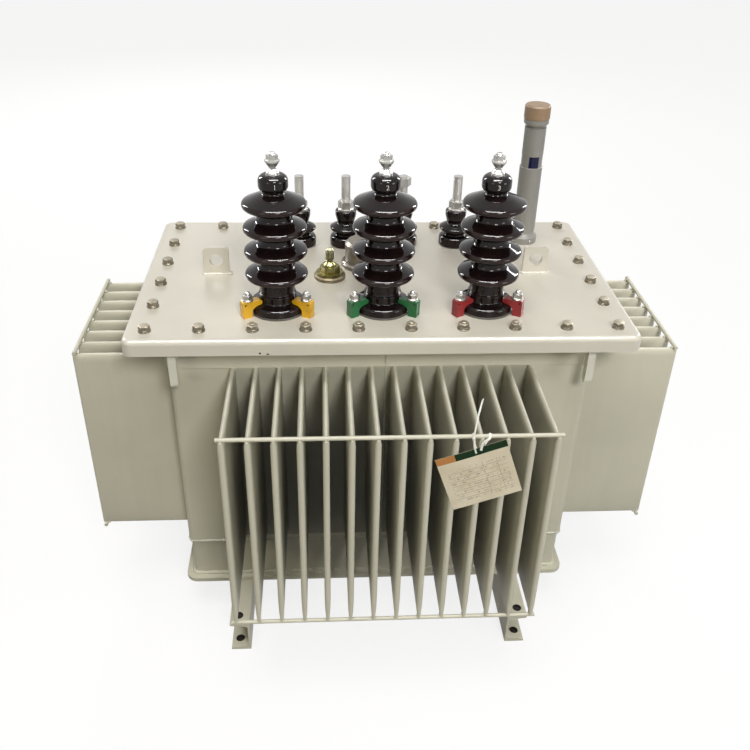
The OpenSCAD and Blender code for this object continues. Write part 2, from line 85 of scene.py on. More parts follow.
class Mat:
    """A node material with short calls for the nodes used here."""

    def __init__(self, name, **sockets):
        self.m = bpy.data.materials.new(name)
        self.m.use_nodes = True
        self.t = self.m.node_tree
        self.t.nodes.clear()
        self.out = self.add("ShaderNodeOutputMaterial")
        self.b = self.add("ShaderNodeBsdfPrincipled")
        self.t.links.new(self.b.outputs[0], self.out.inputs[0])
        for k, v in sockets.items():
            self.b.inputs[k.replace("_", " ")].default_value = v
        self.co = self.add("ShaderNodeTexCoord").outputs["Object"]

    def add(self, kind, **props):
        n = self.t.nodes.new(kind)
        for k, v in props.items():
            setattr(n, k, v)
        return n

    def put(self, n, **sockets):
        for k, v in sockets.items():
            s = n.inputs[k.replace("_", " ")]
            if hasattr(v, "is_output"):
                self.t.links.new(v, s)
            else:
                s.default_value = v
        return n

    def noise(self, scale, detail=3.0, rough=0.55, stretch=None, dist=0.0, co=None):
        src = co or self.co
        if stretch:
            mp = self.put(self.add("ShaderNodeMapping"), Vector=src, Scale=stretch)
            src = mp.outputs[0]
        n = self.put(self.add("ShaderNodeTexNoise"), Vector=src, Scale=scale, Detail=detail,
                     Roughness=rough, Distortion=dist)
        return n.outputs[0]

    def ramp(self, fac, *stops):
        """Colours or greys between (place, value) stops."""
        r = self.add("ShaderNodeValToRGB")
        els = r.color_ramp.elements
        while len(els) < len(stops):
            els.new(0.5)
        for e, (p, c) in zip(els, stops):
            e.position = p
            e.color = c if not isinstance(c, (int, float)) else (c, c, c, 1.0)
        self.t.links.new(fac, r.inputs[0])
        return r.outputs[0]

    def span(self, fac, a, b, c, d):
        """fac from the range a to b, mapped to c to d and held there."""
        n = self.put(self.add("ShaderNodeMapRange"), Value=fac, From_Min=a, From_Max=b, To_Min=c, To_Max=d)
        return n.outputs[0]

    def math(self, op, a, b=None):
        n = self.add("ShaderNodeMath", operation=op)
        for i, v in enumerate((a, b)):
            if v is None:
                continue
            if hasattr(v, "is_output"):
                self.t.links.new(v, n.inputs[i])
            else:
                n.inputs[i].default_value = v
        return n.outputs[0]

    def mix(self, fac, a, b):
        n = self.add("ShaderNodeMix", data_type="RGBA")
        for i, v in ((0, fac), (6, a), (7, b)):
            if hasattr(v, "is_output"):
                self.t.links.new(v, n.inputs[i])
            else:
                n.inputs[i].default_value = v
        return n.outputs[2]

    def axis(self, which, co=None):
        s = self.add("ShaderNodeSeparateXYZ")
        self.t.links.new(co or self.co, s.inputs[0])
        return s.outputs[which]

    def normal_axis(self, which):
        return self.axis(which, self.add("ShaderNodeNewGeometry").outputs["Normal"])

    def bump(self, height, strength, distance, under=None):
        n = self.put(self.add("ShaderNodeBump"), Height=height, Strength=strength, Distance=distance)
        if under:
            self.t.links.new(under, n.inputs["Normal"])
        return n.outputs[0]

    def set(self, **sockets):
        """Sets the shader's sockets and gives the finished material."""
        self.put(self.b, **sockets)
        return self.m


def shade(c, k):
    """The colour c, k times as bright."""
    return tuple(min(1.0, v * k) for v in c[:3]) + (1.0,)


def between(m, out, along):
    """Mask of the painted shade between the fins of a bank: 0 at the noses, rising to 1 near the wall and further
    down the gap.
    """
    nose, half, wall = ((NOSE_X, END_FINS[-1], WALL_X), (NOSE_Y, FRONT_FINS[-1], WALL_Y))[out]
    depth = m.span(m.math("ABSOLUTE", m.axis(out)), (nose - 20.0) * MM, (nose - 130.0) * MM, 0.0, 1.0)
    inside = m.math("LESS_THAN", m.math("ABSOLUTE", m.axis(along)), half * MM)
    low = m.math("MAXIMUM", m.span(m.axis(2), (FIN_TOP - 2.5) * MM, (FIN_TOP - 8.0) * MM, 0.0, 0.42),
                 m.span(m.axis(2), FIN_TOP * MM, (FIN_TOP - 170.0) * MM, 0.0, 1.0))
    past = m.math("GREATER_THAN", m.math("ABSOLUTE", m.axis(out)), wall * MM)
    above = m.math("GREATER_THAN", m.axis(2), FIN_Z * MM)
    down = m.math("MULTIPLY", m.math("MULTIPLY", low, above), past)
    return m.math("MULTIPLY", m.math("MULTIPLY", depth, inside), down)


def enamel(name, rgb, dirt_and_shade=(112, 100, 74), soil=0.22, low=0.0, rough=(0.3, 0.46), gloss=0.5, gap_shade=0.0):
    """Sprayed enamel on steel: faint mottling and orange peel, with grime in streaks on upright faces (soil), a
    colour darker towards the floor (low), and painted shade between the fins, darkest near the wall and low in the
    gaps; the dark colour serves the grime and the painted shade alike."""
    m = Mat(name, IOR=1.47, Specular_IOR_Level=gloss)
    c = lin(*rgb)
    col = m.ramp(m.noise(5.5, 4.0), (0.3, shade(c, 0.95)), (0.52, c), (0.74, shade(c, 1.035)))
    upright = m.span(m.math("ABSOLUTE", m.normal_axis(2)), 0.25, 0.7, 1.0, 0.0)
    streak = m.ramp(m.noise(3.0, 5.0, 0.62, (9.0, 9.0, 0.75)), (0.5, 0.0), (0.8, 1.0))
    fleck = m.ramp(m.noise(95.0, 2.0, 0.5), (0.7, 0.0), (0.8, 1.0))
    blot = m.ramp(m.noise(2.2, 5.0, 0.6, dist=0.6), (0.45, 0.0), (0.75, 1.0))
    fac = m.math("MULTIPLY", m.math("MULTIPLY", streak, upright), soil)
    fac = m.math("ADD", fac, m.math("MULTIPLY", m.math("MULTIPLY", fleck, blot), soil * 0.8))
    # Colour darker towards the floor, by height alone.
    if low:
        foot = m.span(m.axis(2), 0.05, 0.55, low, 0.0)
        fac = m.math("ADD", fac, m.math("MULTIPLY", foot, m.span(m.noise(8.0, 4.0), 0.3, 0.7, 0.55, 1.0)))
    # Painted shade between the fins: the colour darkens where the fins hide the light.
    if gap_shade:
        gap_shade_mask = m.math("MAXIMUM", between(m, 1, 0), between(m, 0, 1))
        fac = m.math("ADD", fac, m.math("MULTIPLY", gap_shade_mask, gap_shade))
    col = m.mix(fac, col, lin(*dirt_and_shade))
    wave = m.bump(m.noise(4.0, 2.0), 0.16, 0.006)
    peel = m.bump(m.noise(420.0, 2.0, 0.45), 0.07, 0.0008, wave)
    r = m.span(m.noise(16.0, 5.0, 0.6), 0.3, 0.7, rough[0], rough[1])
    return m.set(Base_Color=col, Roughness=r, Normal=peel)


def glaze(name):
    """Dark brown porcelain glaze, thinner and redder on the rims, with faint ripples."""
    m = Mat(name, IOR=1.5, Specular_IOR_Level=0.26)
    rim = m.add("ShaderNodeAttribute", attribute_name="rim").outputs["Fac"]
    body = m.ramp(m.noise(38.0, 4.0), (0.3, lin(20, 13, 14)), (0.7, lin(31, 20, 19)))
    col = m.mix(m.math("MULTIPLY", rim, m.span(m.noise(120.0, 3.0), 0.3, 0.7, 0.35, 1.0)), body, lin(44, 27, 24))
    ring = m.noise(22.0, 2.0, 0.5, (1.0, 1.0, 7.0))
    nrm = m.bump(m.noise(260.0, 2.0), 0.03, 0.0006, m.bump(ring, 0.12, 0.002))
    return m.set(Base_Color=col, Normal=nrm, Roughness=m.span(m.noise(60.0, 3.0), 0.3, 0.7, 0.035, 0.11))


def metal(name, rgb, dark=0.55, rough=(0.28, 0.46), scale=55.0, metallic=1.0, side=1.0):
    """Plated metal: cloudy tone, fine scratches, and painted shade that makes the upright sides darker than the
    tops (side).
    """
    m = Mat(name, Metallic=metallic)
    c = lin(*rgb)
    col = m.ramp(m.noise(scale, 5.0, 0.62), (0.26, shade(c, dark)), (0.5, c), (0.78, shade(c, 1.12)))
    # Painted shade: the upright sides get a darker colour than the tops.
    if side < 1.0:
        f = m.span(m.math("ABSOLUTE", m.normal_axis(2)), 0.15, 0.75, 1.0, 0.0)
        col = m.mix(m.math("MULTIPLY", f, m.span(m.noise(80.0, 3.0), 0.3, 0.7, 0.65, 1.0)), col, shade(c, side))
    scratch = m.noise(160.0, 3.0, 0.6, (1.0, 1.0, 9.0))
    return m.set(Base_Color=col, Roughness=m.span(m.noise(scale * 2.0, 4.0), 0.3, 0.7, *rough),
                 Normal=m.bump(scratch, 0.12, 0.0005))


def passivated(name, bands):
    """Yellow-passivated zinc that pales from the body to the spindle, over a greyer foot."""
    m = Mat(name, Metallic=0.95)
    top = bands[-1][0]
    up = m.span(m.axis(2), H * MM, H * MM + top, 0.0, 1.0)
    col = m.ramp(up, *[(z / top, lin(*c)) for z, c in bands])
    cloud = m.span(m.noise(70.0, 5.0, 0.62), 0.3, 0.7, 0.55, 0.0)
    col = m.mix(cloud, col, lin(64, 58, 34))
    return m.set(Base_Color=col, Roughness=m.span(m.noise(140.0, 4.0), 0.3, 0.7, 0.24, 0.4),
                 Normal=m.bump(m.noise(160.0, 3.0, 0.6, (1.0, 1.0, 9.0)), 0.12, 0.0005))


def cast_paint(name, rgb):
    """Brushed gloss paint on a rough casting, chipped here and there."""
    m = Mat(name, IOR=1.47, Coat_Weight=0.12, Coat_Roughness=0.15)
    c = lin(*rgb)
    col = m.ramp(m.noise(42.0, 4.0), (0.28, shade(c, 0.78)), (0.55, c), (0.8, shade(c, 1.12)))
    chip = m.ramp(m.noise(210.0, 3.0, 0.6), (0.715, 0.0), (0.735, 1.0))
    col = m.mix(m.math("MULTIPLY", chip, 0.7), col, lin(70, 62, 55))
    nrm = m.bump(m.noise(150.0, 3.0), 0.25, 0.0012)
    return m.set(Base_Color=col, Normal=nrm, Roughness=m.span(m.noise(70.0, 3.0), 0.3, 0.7, 0.3, 0.5))


def plain(name, rgb, var=0.08, scale=60.0, rough=(0.4, 0.6), grain=0.12, **sockets):
    """Moulded plastic, rubber, paper or thin paint with faint clouding and grain."""
    m = Mat(name, **sockets)
    c = lin(*rgb)
    col = m.ramp(m.noise(scale, 4.0), (0.28, shade(c, 1.0 - var)), (0.72, shade(c, 1.0 + var * 0.6)))
    return m.set(Base_Color=col, Roughness=m.span(m.noise(scale * 1.7, 3.0), 0.3, 0.7, *rough),
                 Normal=m.bump(m.noise(scale * 9.0, 2.0), grain, 0.0005))


def tag_paper():
    """Off-white card with faint ruled lines, columns, illegible dashes and soft creases."""
    m = Mat("tag_paper")
    uv = m.add("ShaderNodeUVMap", uv_map="sheet").outputs[0]
    u, v = m.axis(0, uv), m.axis(1, uv)
    base = m.ramp(m.noise(26.0, 4.0), (0.3, lin(214, 202, 174)), (0.7, lin(227, 217, 193)))
    row = m.math("FRACT", m.math("MULTIPLY", v, 12.0))
    rule = m.math("GREATER_THAN", row, 0.9)
    across = m.math("MULTIPLY", m.math("GREATER_THAN", u, 0.1), m.math("LESS_THAN", u, 0.92))
    upward = m.math("MULTIPLY", m.math("LESS_THAN", v, 0.74), m.math("GREATER_THAN", v, 0.1))
    inside = m.math("MULTIPLY", across, upward)
    col_line = m.math("MULTIPLY", m.math("GREATER_THAN", m.math("FRACT", m.math("MULTIPLY", u, 5.0)), 0.965),
                      m.math("GREATER_THAN", u, 0.42))
    ink = m.math("MULTIPLY", m.math("MAXIMUM", rule, col_line), inside)
    ink = m.math("MULTIPLY", ink, m.span(m.noise(300.0, 2.0), 0.35, 0.6, 0.25, 0.75))
    line = m.math("MULTIPLY", m.math("GREATER_THAN", row, 0.3), m.math("LESS_THAN", row, 0.66))
    dash = m.math("GREATER_THAN", m.noise(1.0, 3.0, 0.7, (34.0, 12.0, 1.0), co=uv), 0.56)
    dash = m.math("MULTIPLY", m.math("MULTIPLY", line, dash), m.math("MULTIPLY", inside, 0.55))
    col = m.mix(m.math("MAXIMUM", ink, dash), base, lin(112, 104, 88))
    return m.set(Base_Color=col, Roughness=m.span(m.noise(90.0, 3.0), 0.3, 0.7, 0.6, 0.8),
                 Normal=m.bump(m.noise(18.0, 3.0), 0.2, 0.002))


COVER = enamel("cover_enamel", (213, 208, 194), soil=0.015, rough=(0.29, 0.33))
# The tank's dark colour serves both its grime and the painted shade between the fins.
TANK = enamel("tank_enamel", (206, 203, 184), dirt_and_shade=(58, 58, 50), soil=0.05, low=0.05, rough=(0.42, 0.56),
              gloss=0.25, gap_shade=0.48)
WELD = enamel("weld_enamel", (207, 206, 188), soil=0.3, low=0.1, rough=(0.42, 0.56), gloss=0.25)
# Painted highlight: the fins' top seams get a lighter copy of the tank enamel.
SEAM_LIT = enamel("seam_enamel_lit", (224, 222, 208), soil=0.05, rough=(0.4, 0.54), gloss=0.3)
# Painted light: the hooks get a lighter copy of the tank enamel, as if they caught more light.
HOOK_LIT = enamel("hook_enamel_lit", (224, 222, 208), soil=0.1, rough=(0.4, 0.54), gloss=0.3)
GLAZE = glaze("brown_glaze")
TIN = metal("tinned_brass", (182, 180, 176), dark=0.5, side=0.8)
ZINC = metal("bolt_zinc", (158, 150, 132), dark=0.6, rough=(0.36, 0.52), metallic=0.7, side=0.5)
BRIGHT = metal("nut_zinc", (178, 176, 171), dark=0.55, rough=(0.3, 0.45), metallic=0.95, side=0.7)
# Washers in a darker zinc: partly their dull tone, partly painted shade round the bolt heads.
WASHER = metal("washer_zinc_and_shade", (118, 111, 96), dark=0.6, rough=(0.4, 0.55), metallic=0.6, side=0.6)
GOLD = passivated("yellow_zinc", ((0.0, (158, 147, 126)), (0.009, (150, 138, 112)), (0.012, (122, 114, 68)),
                                  (0.034, (140, 134, 90)), (0.06, (168, 166, 134))))
CAST = metal("cast_alloy", (126, 120, 111), dark=0.6, rough=(0.3, 0.48), scale=80.0, metallic=0.9)
YELLOW = cast_paint("yellow_gloss", (220, 168, 16))
GREEN = cast_paint("green_gloss", (18, 98, 48))
RED = cast_paint("red_gloss", (142, 26, 30))
RUBBER = plain("gasket_black", (30, 29, 28), scale=90.0, rough=(0.6, 0.8), grain=0.3)
GAUGE = plain("gauge_grey", (141, 139, 133), var=0.05, scale=35.0, rough=(0.34, 0.46))
SEAL = plain("gasket_grey", (78, 73, 66), var=0.15, scale=120.0, rough=(0.6, 0.8), grain=0.3)
PANE = plain("gauge_blue", (18, 20, 62), var=0.2, scale=80.0, rough=(0.1, 0.2), grain=0.03,
             Specular_IOR_Level=0.25)
CAP = plain("gauge_cap_tan", (152, 125, 96), var=0.07, scale=45.0, rough=(0.42, 0.55))
PAPER = tag_paper()
HEAD = plain("tag_green", (17, 43, 19), var=0.2, scale=60.0, rough=(0.6, 0.75), Specular_IOR_Level=0.12)
BAND = plain("tag_brown", (184, 124, 62), var=0.12, scale=60.0, rough=(0.5, 0.65))
NYLON = plain("tie_nylon", (236, 233, 222), var=0.04, scale=80.0, rough=(0.3, 0.42), Subsurface_Weight=0.1)
WHITE = plain("number_white", (222, 218, 208), var=0.12, scale=150.0, rough=(0.4, 0.6))
# Dark bare steel for the paint chips; the same dark colour is also the painted shade inside the rails' holes.
BARE_AND_SHADE = plain("chipped_steel_and_shade", (44, 38, 32), var=0.4, scale=300.0, rough=(0.5, 0.8), Metallic=0.4)

paint_of = {"cover": COVER, "left_lug": COVER, "right_lug": COVER, "cover_gasket": RUBBER,
            "relief_valve": GOLD, "tap_changer": CAST, "gauge_tube": GAUGE, "gauge_pane": PANE,
            "gauge_cap": CAP, "hv_claws_1": YELLOW, "hv_claws_2": GREEN, "hv_claws_3": RED}
for name, o in node.items():
    kind = paint_of.get(name)
    if kind is None:
        kind = TIN if "terminal" in name else GLAZE if "bushing" in name else HOOK_LIT if "hook" in name else TANK
    o.data.materials.clear()
    o.data.materials.append(kind)


# ---------------------------------------------------------------- mesh making

class Build:
    """Collects vertices and faces in millimetres and makes one piece of them."""

    def __init__(self):
        self.v, self.f, self.m = [], [], []

    def add(self, verts, faces, mat=0):
        k = len(self.v)
        self.v += [tuple(p) for p in verts]
        self.f += [tuple(i + k for i in f) for f in faces]
        self.m += [mat] * len(faces)

    def rings(self, rings, closed=False, mat=0):
        """A skin over rings of equal length, each a closed loop, capped unless it runs round."""
        n, k = len(rings[0]), len(rings)
        verts = [p for r in rings for p in r]
        faces = []
        for i in range(k if closed else k - 1):
            a, b = i * n, ((i + 1) % k) * n
            faces += [(a + j, a + (j + 1) % n, b + (j + 1) % n, b + j) for j in range(n)]
        if not closed:
            faces += [tuple(range(n - 1, -1, -1)), tuple(range((k - 1) * n, k * n))]
        self.add(verts, faces, mat)

    def lathe(self, profile, at, segs=48, mat=0, turn=0.0):
        """A solid of revolution about the upright through at, from (radius, height) pairs."""
        x0, y0, z0 = at
        rings = []
        for r, z in profile:
            rings.append([(x0 + r * math.cos(turn + 2 * math.pi * j / segs),
                           y0 + r * math.sin(turn + 2 * math.pi * j / segs), z0 + z) for j in range(segs)])
        self.rings(rings, mat=mat)

    def hexagon(self, at, af, h, turn, base):
        """A bolt head or nut with its corners turned off under thirty degrees."""
        x0, y0, z0 = at
        r_in, n = af / 2.0, 36
        rings = [[], [], [], []]
        for j in range(n):
            a = 2 * math.pi * j / n
            r = r_in / math.cos((a % (math.pi / 3)) - math.pi / 6)
            drop = max(0.0, (r - r_in * 0.96) * 0.58)
            ca, sa = math.cos(a + turn), math.sin(a + turn)
            for ring, rr, z in zip(rings, (r * 0.97, r, r, r_in * 0.95), (base, base + 0.5, h - drop, h)):
                ring.append((x0 + rr * ca, y0 + rr * sa, z0 + z))
        self.rings(rings)

    def thread(self, at, z0, z1, r, pitch, segs=28):
        """A helical ridge standing a little proud of a stud."""
        n = int((z1 - z0) / pitch * segs)
        x0, y0, zb = at
        verts, faces = [], []
        for i in range(n + 1):
            a, z = 2 * math.pi * i / segs, zb + z0 + pitch * i / segs
            fade = min(1.0, i / 14.0, (n - i) / 14.0)
            for dr, dz in ((-0.25, -0.42), (0.32 * fade, -0.08), (0.32 * fade, 0.08), (-0.25, 0.42)):
                verts.append((x0 + (r + dr) * math.cos(a), y0 + (r + dr) * math.sin(a), z + dz * pitch))
        for i in range(n):
            a, b = 4 * i, 4 * i + 4
            faces += [(a, b, b + 1, a + 1), (a + 1, b + 1, b + 2, a + 2), (a + 2, b + 2, b + 3, a + 3)]
        self.add(verts, faces)

    def bead(self, path, r, closed=False, step=2.6, seed=0.0, n=8):
        """A weld bead along a path: a thin tube with overlapping ripples."""
        pts = [Vector(p) for p in path]
        if closed:
            pts.append(pts[0])
        line = []
        for a, b in zip(pts, pts[1:]):
            k = max(1, int((b - a).length / step))
            line += [a.lerp(b, i / k) for i in range(k)]
        if not closed:
            line.append(pts[-1])
        rings, k = [], len(line)
        for i, p in enumerate(line):
            if closed:
                t = line[(i + 1) % k] - line[i - 1]
            else:
                t = line[min(i + 1, k - 1)] - line[max(i - 1, 0)]
            t.normalize()
            side = t.cross(Vector((0.31, 0.52, 0.79)))
            side.normalize()
            up = side.cross(t)
            w = r * (0.9 + 0.14 * math.sin(i * 2.1) + 0.35 * noise.noise(Vector((i * 0.17, seed, 3.7))))
            if not closed:
                w *= min(1.0, 0.35 + i * 0.3, 0.35 + (k - 1 - i) * 0.3)
            rings.append([p + side * (w * math.cos(2 * math.pi * j / n)) + up * (w * math.sin(2 * math.pi * j / n))
                          for j in range(n)])
        self.rings(rings, closed=closed)

    def blob(self, c, rx, ry, rz, seed, n=10, k=6):
        """A small rounded lump of weld metal."""
        rings = []
        for i in range(k + 1):
            la = math.pi * (0.06 + 0.88 * i / k) - math.pi / 2
            ring = []
            for j in range(n):
                lo = 2 * math.pi * j / n
                d = Vector((math.cos(la) * math.cos(lo), math.cos(la) * math.sin(lo), math.sin(la)))
                g = 1.0 + 0.22 * noise.noise(d * 1.7 + Vector((seed, seed * 0.7, 0.0)))
                ring.append((c[0] + rx * g * d.x, c[1] + ry * g * d.y, c[2] + rz * g * d.z))
            rings.append(ring)
        self.rings(rings)

    def strap(self, path, w, t, wide, taper=None):
        """A flat strap along a path. wide points across the strap."""
        pts = [Vector(p) for p in path]
        rings = []
        for i, p in enumerate(pts):
            d = (pts[min(i + 1, len(pts) - 1)] - pts[max(i - 1, 0)]).normalized()
            x = (Vector(wide) - d * Vector(wide).dot(d)).normalized()
            y = d.cross(x)
            k = taper(i / (len(pts) - 1)) if taper else 1.0
            rings.append([p + x * (w / 2 * k * a) + y * (t / 2 * b) for a, b in
                          ((-1, -0.5), (-0.8, -1), (0.8, -1), (1, -0.5), (1, 0.5), (0.8, 1), (-0.8, 1), (-1, 0.5))])
        self.rings(rings)

    def piece(self, name, mats, smooth=35.0, stands_for=()):
        """Makes the object with its materials, rides it on the fixed body and hides the nodes it stands for."""
        me = bpy.data.meshes.new(name)
        me.from_pydata([tuple(c * MM for c in v) for v in self.v], [], self.f)
        for m in mats:
            me.materials.append(m)
        me.polygons.foreach_set("material_index", self.m)
        me.update()
        me.shade_smooth()
        me.set_sharp_from_angle(angle=math.radians(smooth))
        ob = bpy.data.objects.new(name, me)
        bpy.context.scene.collection.objects.link(ob)
        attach(ob, "root")
        if stands_for:
            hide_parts(*stands_for)
        return ob


def arc(cx, cy, r, a0, a1, n):
    """n + 1 points of an arc, between two angles in degrees."""
    return [(cx + r * math.cos(math.radians(a0 + (a1 - a0) * i / n)),
             cy + r * math.sin(math.radians(a0 + (a1 - a0) * i / n))) for i in range(n + 1)]


def spline(pts, k=8):
    """A smooth curve through points."""
    p = [Vector(q) for q in pts]
    out = []
    for i in range(len(p) - 1):
        a, b, c, d = p[max(i - 1, 0)], p[i], p[i + 1], p[min(i + 2, len(p) - 1)]
        for j in range(k):
            t = j / k
            out.append(0.5 * (2 * b + (c - a) * t + (2 * a - 5 * b + 4 * c - d) * t * t
                              + (3 * b - a - 3 * c + d) * t ** 3))
    out.append(p[-1])
    return out


def finer(profile, most):
    """The profile with long runs cut up, so that the surface shades evenly."""
    out = [profile[0]]
    for a, b in zip(profile, profile[1:]):
        k = max(1, int(math.dist(a, b) / most))
        out += [(a[0] + (b[0] - a[0]) * i / k, a[1] + (b[1] - a[1]) * i / k) for i in range(1, k + 1)]
    return out


def ring_path(hx, hy, r, z, n=8):
    """A level rectangle with round corners, from its half sizes."""
    pts = []
    for sx, sy, a in ((1, 1, 0), (-1, 1, 90), (-1, -1, 180), (1, -1, 270)):
        pts += [(x, y, z) for x, y in arc(sx * (hx - r), sy * (hy - r), r, a, a + 90, n)]
    return pts


# ---------------------------------------------------------------- porcelain

def rim_layer(ob, centre, r0, r1):
    """Marks how near each vertex is to a shed's rim."""
    at = ob.data.attributes.new("rim", "FLOAT", "POINT")
    for v, d in zip(ob.data.vertices, at.data):
        r = math.hypot(v.co.x / MM - centre[0], v.co.y / MM - centre[1])
        d.value = max(0.0, min(1.0, (r - r0) / (r1 - r0)))


def hv_profile():
    """Outline of a high-voltage bushing: foot, neck, four sheds and collar, as (radius, height)."""
    p = [(0.01, 4.5), (53.6, 4.5), (54.7, 5.0), (55, 6.2)] + arc(49, 14, 6, 0, 80, 10)
    p += [(39.4, 22.7)] + arc(38.6, 25.4, 2.6, 255, 190, 5) + [(36, 37.2)] + arc(34.6, 37.4, 1.4, 0, 70, 4)
    p += arc(36.0, 41.6, 2.0, 250, 180, 4)
    for k in range(4):
        z = 77 + 46.5 * k
        p += arc(41, z - 19, 7, 180, 105, 10) + arc(53, z, 7, -80, 62 if k < 3 else 66, 20)
        if k < 3:
            p += arc(43, z + 23, 9, 240, 180, 10)
    p += [(37.2, 231.2), (36, 231.9)] + arc(25.5, 241.0, 5, 245, 190, 8)
    p += arc(17.7, 251.5, 10, -50, 0, 8) + arc(15.7, 260.5, 12, 0, 80, 12) + [(0.01, 272.5)]
    return finer(p, 3.0)


def lv_profile():
    """Outline of a low-voltage bushing, as (radius, height)."""
    p = [(0.01, 0), (32.5, 0), (34.6, 0.9), (35.5, 3), (35.5, 16)] + arc(28.5, 16, 7, 15, 80, 10)
    p += arc(27, 27, 3, 250, 120, 8) + arc(31.5, 40, 4, -70, 60, 14) + arc(23, 54, 4, 240, 175, 6)
    p += arc(18.5, 71, 5, -15, 0, 3) + arc(20.5, 79, 3, 0, 90, 8) + [(0.01, 82)]
    return finer(p, 3.0)


for i, x in enumerate(HV_X):
    b = Build()
    b.lathe(hv_profile(), (x, HV_Y, H), 96)
    ob = b.piece("hv_porcelain_%d" % (i + 1), [GLAZE], 40.0, ["hv_bushing_%d" % (i + 1)])
    rim_layer(ob, (x, HV_Y), 55.0, 60.0)
for i, x in enumerate(LV_X):
    b = Build()
    b.lathe(lv_profile(), (x, LV_Y, H), 72)
    ob = b.piece("lv_porcelain_%d" % (i + 1), [GLAZE], 40.0, ["lv_bushing_%d" % (i + 1)])
    rim_layer(ob, (x, LV_Y), 34.0, 36.0)
b = Build()
for x in HV_X:
    seal = [(40.0, 0.0), (54.6, 0.0)] + arc(54.4, 2.2, 0.6, -60, 60, 4) + [(54.2, 4.4), (40.0, 4.4)]
    b.lathe(seal, (x, HV_Y, H), 96)
b.piece("bushing_gaskets", [SEAL], 40.0)


# ---------------------------------------------------------------- bolts, nuts and threads

b = Build()
spots = [(-BOLT_X + BOLT_STEP * i, s * BOLT_Y) for s in (-1, 1) for i in range(10)]
spots += [(s * BOLT_X, -BOLT_Y + BOLT_STEP * (j + 1)) for s in (-1, 1) for j in range(4)]
for x, y in spots:
    turn = noise.noise(Vector((x * 0.013, y * 0.017, 0.5))) * 3.0
    b.lathe([(6.0, 0.0), (12.0, 0.0), (12.3, 0.4), (12.3, 1.9), (11.9, 2.3), (6.0, 2.3)], (x, y, H), 32, 1)
    b.lathe([(6.0, 2.3), (10.4, 2.3), (10.7, 2.7), (10.7, 4.2), (10.3, 4.6), (6.0, 4.6)], (x, y, H), 32, 1, turn)
    b.hexagon((x, y, H), 19.0, 12.4, turn, 4.6)
    if y == -BOLT_Y and abs(x) < 3 * BOLT_STEP:  # the bolts' ends show on the middle of the front row
        b.lathe([(5.9, 12.0), (5.9, 15.2), (5.2, 16.0), (0.01, 16.0)], (x, y, H), 24, 0)
b.piece("cover_bolts", [ZINC, WASHER])

b = Build()
for k, x in enumerate(HV_X):
    for a in CLAW_TURNS:
        c, s = math.cos(math.radians(a)), math.sin(math.radians(a))
        at = (x + CLAW_R * c, HV_Y + CLAW_R * s, H + 35.0)
        turn = math.radians(a) + 0.35 * (k + 1)
        b.lathe([(5.0, -0.6), (10.4, -0.6), (10.7, 0.1), (10.7, 1.8), (10.3, 2.2), (5.0, 2.2)], at, 32)
        b.hexagon(at, 17.0, 11.6, turn, 2.2)
        b.lathe([(5.0, 11.0), (5.0, 15.0)] + arc(1.5, 14.4, 3.5, 10, 80, 5) + [(0.01, 17.9)], at, 24)
        b.thread(at, 11.8, 14.8, 4.85, 1.5)
b.piece("claw_nuts", [BRIGHT])

b = Build()
for x in HV_X:
    for a in CLAW_TURNS:
        c, s = math.cos(math.radians(a)), math.sin(math.radians(a))
        rings = []
        for e, k in ((-7.1, 0.9), (-6.9, 1.0), (6.9, 1.0), (7.1, 0.9)):
            tri = [(72.2 + (r - 72.2) * k, 27.7 + (z - 27.7) * k)
                   for r, z in ((74.5, 30), (68.5, 29), (73.5, 24))]
            rings.append([(x + r * c - e * s, HV_Y + r * s + e * c, H + z) for r, z in tri])
        b.rings(rings)
b.piece("claw_pits", [BARE_AND_SHADE])

# Dark linings inside the rails' holding-down holes: painted shade for the holes' inner walls in shadow.
b = Build()
for sx in (-1, 1):
    for sy in (-1, 1):
        for z in (0.3, 72.9):
            b.lathe([(9.95, 0.0), (9.95, 6.8), (9.4, 6.6), (9.4, 0.1)], (sx * FOOT_X, sy * FOOT_Y, z), 36)
b.piece("rail_hole_shade_linings", [BARE_AND_SHADE])

b = Build()
for i, x in enumerate(LV_X):
    b.thread((x, LV_Y, H), 103.0, 138.0 if i == 2 else 158.0, 10.0, 2.5)
for x in HV_X:
    b.thread((x, HV_Y, H), 283.2, 286.4, 6.0, 1.75)
    b.thread((x, HV_Y, H), 307.9, 311.4, 6.0, 1.75)
b.piece("stud_threads", [TIN])

b = Build()
for j in range(6):
    a = math.radians(20 + 60 * j)
    at = (TAP_X + 41 * math.cos(a), TAP_Y + 41 * math.sin(a), H + 9.4)
    b.lathe([(4.2, -1.0), (4.2, 1.6)] + arc(2.4, 1.6, 1.8, 0, 80, 5) + [(0.01, 3.4)], at, 20)
b.piece("tap_changer_screws", [BRIGHT])

b = Build()
for a in (-70, 50, 170):
    c, s = math.cos(math.radians(a)), math.sin(math.radians(a))
    rings = []
    for d, r in ((30.1, 3.2), (32.7, 3.2), (33.3, 2.6), (33.3, 1.5), (31.9, 1.4)):
        rings.append([(GAUGE_X + c * d - s * r * math.cos(2 * math.pi * j / 16),
                       GAUGE_Y + s * d + c * r * math.cos(2 * math.pi * j / 16),
                       H + 7.5 + r * math.sin(2 * math.pi * j / 16)) for j in range(16)])
    b.rings(rings)
b.piece("gauge_set_screws", [BRIGHT])


# ---------------------------------------------------------------- welds

